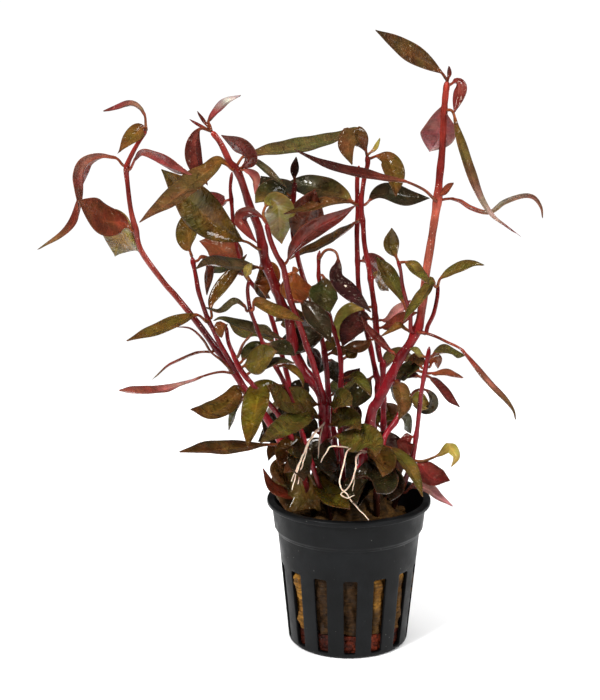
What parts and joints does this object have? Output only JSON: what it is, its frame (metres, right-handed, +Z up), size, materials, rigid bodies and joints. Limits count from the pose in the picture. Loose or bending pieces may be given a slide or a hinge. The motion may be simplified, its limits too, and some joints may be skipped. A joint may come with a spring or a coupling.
{
  "type": "aquarium plant in a net pot",
  "caption": "branching stem plant with crimson stems and long olive-brown and wine-red leaves, rooted in a mineral wool plug in a slotted black net pot",
  "frame": {"origin": "the centre of the pot's underside, on the surface that it stands on", "axes": "+Z up along the pot's axis, -Y towards the viewer of the picture, +X to the right"},
  "size_m": [0.1599, 0.102, 0.2044],
  "materials": {
    "pot_plastic": "dark blue-grey moulded plastic, satin",
    "mineral_wool": "damp khaki mineral wool",
    "clay_grains": "fine red-brown clay grains",
    "stem_crimson": "smooth living crimson stem",
    "leaf_olive": "glossy olive-brown leaf with a rosy underside",
    "leaf_green": "glossy green leaf with a rosy underside",
    "leaf_dark": "glossy dark green leaf",
    "leaf_wine": "glossy wine-red leaf",
    "leaf_khaki": "translucent khaki leaf",
    "root_cream": "thin cream aerial root"
  },
  "bodies": {
    "root": {"clay_bed": "clay_grains", "leaf_back_left": "leaf_dark", "leaf_broad_brown": "leaf_olive", "leaf_centre_loop": "leaf_dark", "leaf_far_left_drooping": "leaf_khaki", "leaf_far_left_green": "leaf_green", "leaf_far_left_inner": "leaf_wine", "leaf_far_left_red": "leaf_wine", "leaf_far_left_tip": "leaf_olive", "leaf_left_bright_green": "leaf_green", "leaf_left_edge_on": "leaf_olive", "leaf_left_front_right": "leaf_olive", "leaf_left_inner_green": "leaf_green", "leaf_left_low_broad": "leaf_olive", "leaf_left_low_long": "leaf_wine", "leaf_left_lowest": "leaf_olive", "leaf_middle_hanging": "leaf_wine", "leaf_middle_level_left": "leaf_dark", "leaf_middle_long_left": "leaf_olive", "leaf_middle_long_right": "leaf_olive", "leaf_middle_low_glossy": "leaf_olive", "leaf_middle_low_left": "leaf_dark", "leaf_middle_lowest": "leaf_olive", "leaf_middle_top_hanging": "leaf_wine", "leaf_middle_top_red": "leaf_wine", "leaf_middle_top_right": "leaf_wine", "leaf_shoot_far_left_inner": "leaf_olive", "leaf_shoot_far_left_outer": "leaf_olive", "leaf_shoot_far_left_top": "leaf_olive", "leaf_shoot_middle_dark": "leaf_dark", "leaf_shoot_middle_khaki": "leaf_khaki", "leaf_shoot_middle_red": "leaf_wine", "leaf_tall_hanging_red": "leaf_wine", "leaf_tall_long_left": "leaf_wine", "leaf_tall_long_right": "leaf_olive", "leaf_tall_low_right": "leaf_olive", "leaf_tall_top": "leaf_olive", "leaf_tall_wavy_right": "leaf_olive", "leaf_twin_left_brown": "leaf_olive", "leaf_twin_right_top": "leaf_green", "pot": "pot_plastic", "rockwool_plug": "mineral_wool", "roots_left": "root_cream", "roots_right": "root_cream", "shoot_far_left": "stem_crimson", "shoot_middle": "stem_crimson", "shoot_right_inner": "stem_crimson", "shoot_right_outer": "stem_crimson", "stem_back": "stem_crimson", "stem_centre": "stem_crimson", "stem_far_left": "stem_crimson", "stem_far_right": "stem_crimson", "stem_left_back": "stem_crimson", "stem_left_front": "stem_crimson", "stem_left_inner": "stem_crimson", "stem_low_right": "stem_crimson", "stem_middle": "stem_crimson", "stem_tall_right": "stem_crimson", "stem_twin_left": "stem_crimson", "stem_twin_right": "stem_crimson"}
  },
  "joints": []
}
